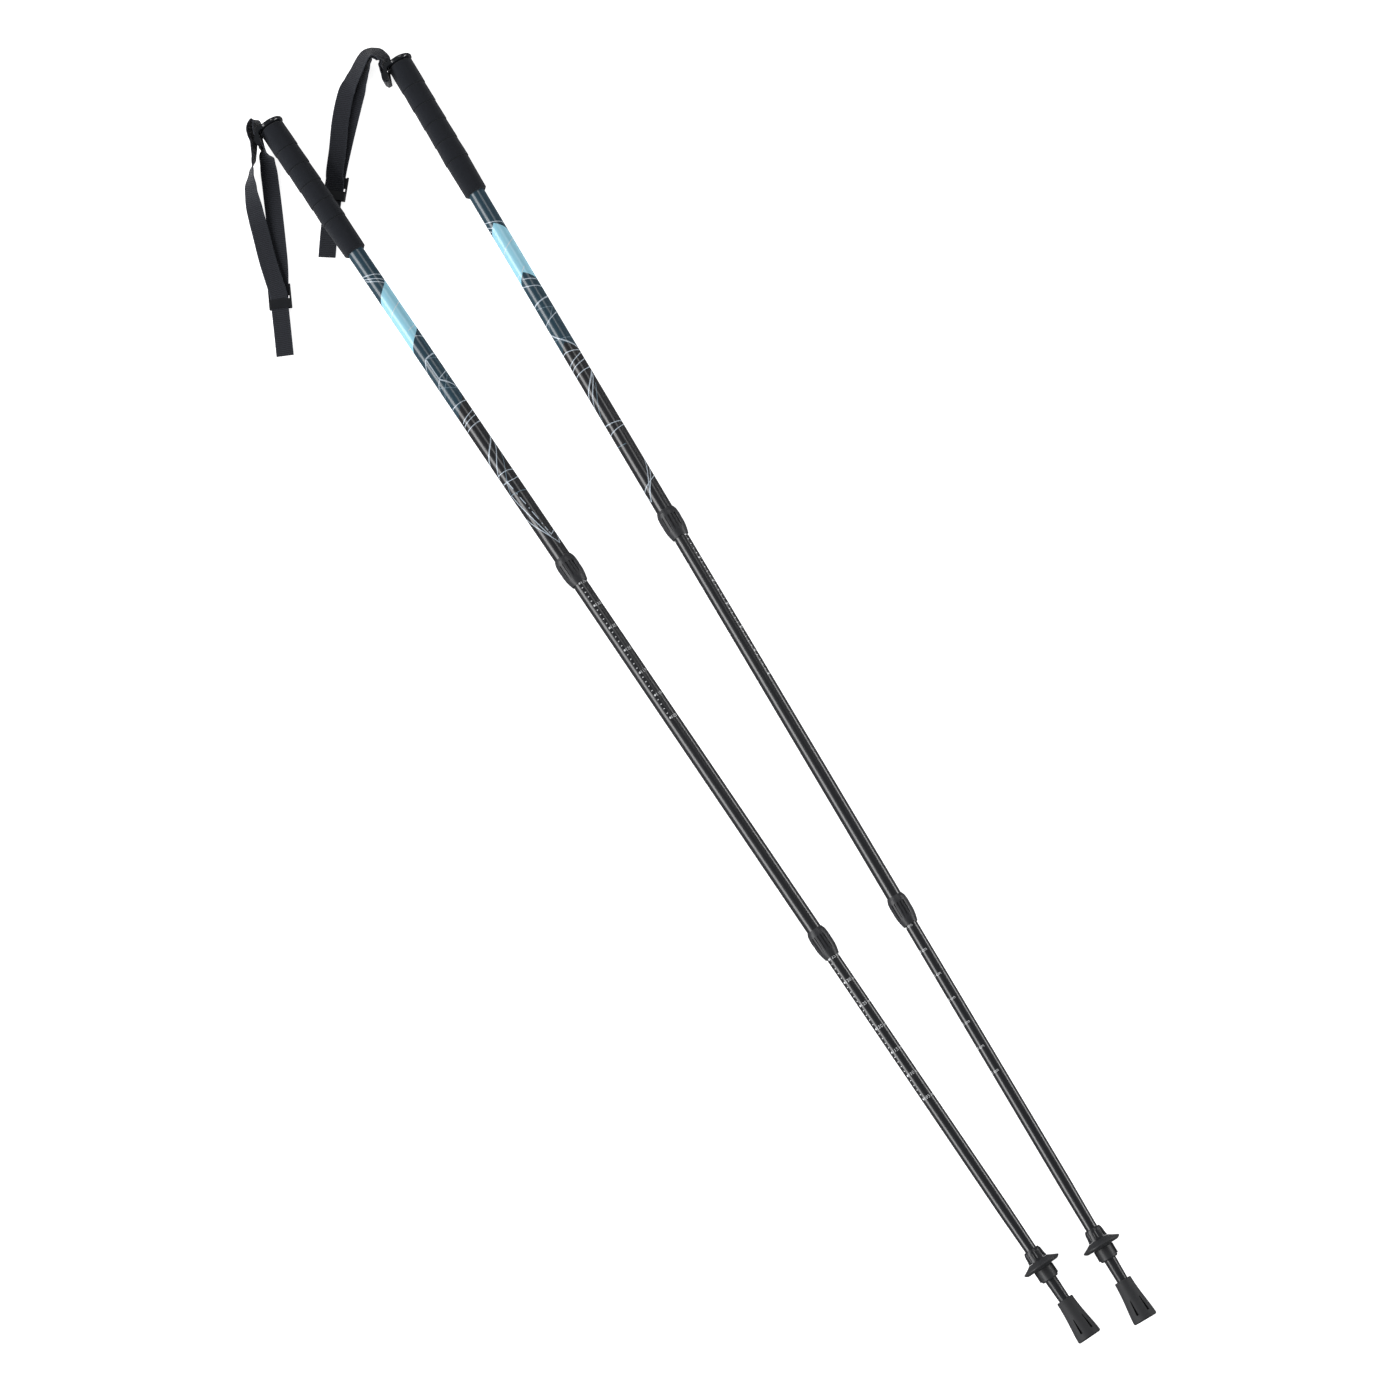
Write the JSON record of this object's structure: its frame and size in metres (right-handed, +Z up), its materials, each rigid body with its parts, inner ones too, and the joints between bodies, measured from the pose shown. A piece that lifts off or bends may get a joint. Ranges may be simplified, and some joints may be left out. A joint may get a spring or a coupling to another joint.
{
  "type": "trekking poles",
  "caption": "Telescopic walking poles with twist-lock collars, foam grips, webbing wrist straps, small baskets and push-on rubber feet, lying side by side.",
  "frame": {"origin": "middle of the pair's outline on the floor that the poles lie on", "axes": "+Y along the poles towards the handles, +Z up, +X from the left pole to the right pole"},
  "size_m": [0.2572, 1.3755, 0.036],
  "materials": {
    "gloss_black_plastic": "glossy moulded nylon",
    "foam": "matt closed-cell EVA foam",
    "webbing": "ribbed polypropylene webbing",
    "printed_tube": "gloss lacquer over a teal, pale blue and black print on aluminium tube",
    "black_tube": "gloss black lacquer on aluminium tube",
    "collar_plastic": "satin dark grey moulded plastic",
    "nylon": "natural nylon",
    "steel": "bright steel",
    "basket_plastic": "satin dark grey plastic",
    "foot_rubber": "moulded rubber"
  },
  "bodies": {
    "left_handle": {"left_grip_cap": "gloss_black_plastic", "left_foam_grip": "foam", "left_wrist_strap": "webbing", "left_strap_slider": "gloss_black_plastic", "left_upper_tube": "printed_tube", "left_upper_lock_collar": "collar_plastic"},
    "left_middle_jaw": {"left_middle_lock_jaw": "nylon"},
    "left_middle_wedge": {"left_middle_lock_wedge": "nylon"},
    "left_middle": {"left_middle_tube": "black_tube", "left_middle_plug": "nylon", "left_middle_stud": "steel", "left_middle_stop_washer": "steel", "left_lower_lock_collar": "collar_plastic"},
    "left_lower_jaw": {"left_lower_lock_jaw": "nylon"},
    "left_lower_wedge": {"left_lower_lock_wedge": "nylon"},
    "left_lower": {"left_lower_tube": "black_tube", "left_lower_plug": "nylon", "left_lower_stud": "steel", "left_lower_stop_washer": "steel", "left_tip_body": "gloss_black_plastic", "left_tip_point": "steel"},
    "left_basket": {"left_basket": "basket_plastic"},
    "left_foot": {"left_rubber_foot": "foot_rubber"},
    "right_handle": {"right_grip_cap": "gloss_black_plastic", "right_foam_grip": "foam", "right_wrist_strap": "webbing", "right_strap_slider": "gloss_black_plastic", "right_upper_tube": "printed_tube", "right_upper_lock_collar": "collar_plastic"},
    "right_middle_jaw": {"right_middle_lock_jaw": "nylon"},
    "right_middle_wedge": {"right_middle_lock_wedge": "nylon"},
    "right_middle": {"right_middle_tube": "black_tube", "right_middle_plug": "nylon", "right_middle_stud": "steel", "right_middle_stop_washer": "steel", "right_lower_lock_collar": "collar_plastic"},
    "right_lower_jaw": {"right_lower_lock_jaw": "nylon"},
    "right_lower_wedge": {"right_lower_lock_wedge": "nylon"},
    "right_lower": {"right_lower_tube": "black_tube", "right_lower_plug": "nylon", "right_lower_stud": "steel", "right_lower_stop_washer": "steel", "right_tip_body": "gloss_black_plastic", "right_tip_point": "steel"},
    "right_basket": {"right_basket": "basket_plastic"},
    "right_foot": {"right_rubber_foot": "foot_rubber"}
  },
  "joints": [
    {"name": "left_middle_telescope", "type": "slide", "parent": "left_handle", "child": "left_middle_jaw", "axis": [-0.0312, 0.9995, 0], "range_m": [0, 0.372]},
    {"name": "left_middle_twist", "type": "hinge", "parent": "left_middle_jaw", "child": "left_middle", "pos_m": [-0.00172, 0.14049, 0.018], "axis": [-0.0312, 0.9995, 0], "range_deg": [0, 360]},
    {"name": "left_middle_wedge_travel", "type": "slide", "parent": "left_middle_jaw", "child": "left_middle_wedge", "axis": [-0.0312, 0.9995, 0], "range_m": [0, 0.00125]},
    {"name": "left_lower_telescope", "type": "slide", "parent": "left_middle", "child": "left_lower_jaw", "axis": [-0.0312, 0.9995, 0], "range_m": [0, 0.304]},
    {"name": "left_lower_twist", "type": "hinge", "parent": "left_lower_jaw", "child": "left_lower", "pos_m": [0.01115, -0.27131, 0.018], "axis": [-0.0312, 0.9995, 0], "range_deg": [0, 360]},
    {"name": "left_lower_wedge_travel", "type": "slide", "parent": "left_lower_jaw", "child": "left_lower_wedge", "axis": [-0.0312, 0.9995, 0], "range_m": [0, 0.00125]},
    {"name": "left_basket_turn", "type": "hinge", "parent": "left_lower", "child": "left_basket", "pos_m": [0.02143, -0.60015, 0.018], "axis": [-0.0312, 0.9995, 0], "range_deg": [0, 90]},
    {"name": "left_foot_pull_off", "type": "slide", "parent": "left_lower", "child": "left_foot", "axis": [0.0312, -0.9995, 0], "range_m": [0, 0.045]},
    {"name": "right_middle_telescope", "type": "slide", "parent": "right_handle", "child": "right_middle_jaw", "axis": [0.0312, 0.9995, -0.0035], "range_m": [0, 0.372]},
    {"name": "right_middle_twist", "type": "hinge", "parent": "right_middle_jaw", "child": "right_middle", "pos_m": [0.09886, 0.12769, 0.01538], "axis": [0.0312, 0.9995, -0.0035], "range_deg": [0, 360]},
    {"name": "right_middle_wedge_travel", "type": "slide", "parent": "right_middle_jaw", "child": "right_middle_wedge", "axis": [0.0312, 0.9995, -0.0035], "range_m": [0, 0.00125]},
    {"name": "right_lower_telescope", "type": "slide", "parent": "right_middle", "child": "right_lower_jaw", "axis": [0.0312, 0.9995, -0.0035], "range_m": [0, 0.304]},
    {"name": "right_lower_twist", "type": "hinge", "parent": "right_lower_jaw", "child": "right_lower", "pos_m": [0.08599, -0.28411, 0.01684], "axis": [0.0312, 0.9995, -0.0035], "range_deg": [0, 360]},
    {"name": "right_lower_wedge_travel", "type": "slide", "parent": "right_lower_jaw", "child": "right_lower_wedge", "axis": [0.0312, 0.9995, -0.0035], "range_m": [0, 0.00125]},
    {"name": "right_basket_turn", "type": "hinge", "parent": "right_lower", "child": "right_basket", "pos_m": [0.07571, -0.61295, 0.018], "axis": [0.0312, 0.9995, -0.0035], "range_deg": [0, 90]},
    {"name": "right_foot_pull_off", "type": "slide", "parent": "right_lower", "child": "right_foot", "axis": [-0.0312, -0.9995, 0.0035], "range_m": [0, 0.045]},
    {"name": "left_pole_lift", "type": "slide", "parent": "right_handle", "child": "left_handle", "axis": [0, 0, 1], "range_m": [0, 0.3]}
  ],
  "couplings": [
    {"joint": "left_middle_wedge_travel", "follows": "left_middle_twist", "m_per_rad": 0.00019892},
    {"joint": "left_lower_wedge_travel", "follows": "left_lower_twist", "m_per_rad": 0.00019892},
    {"joint": "right_middle_wedge_travel", "follows": "right_middle_twist", "m_per_rad": 0.00019892},
    {"joint": "right_lower_wedge_travel", "follows": "right_lower_twist", "m_per_rad": 0.00019892}
  ]
}
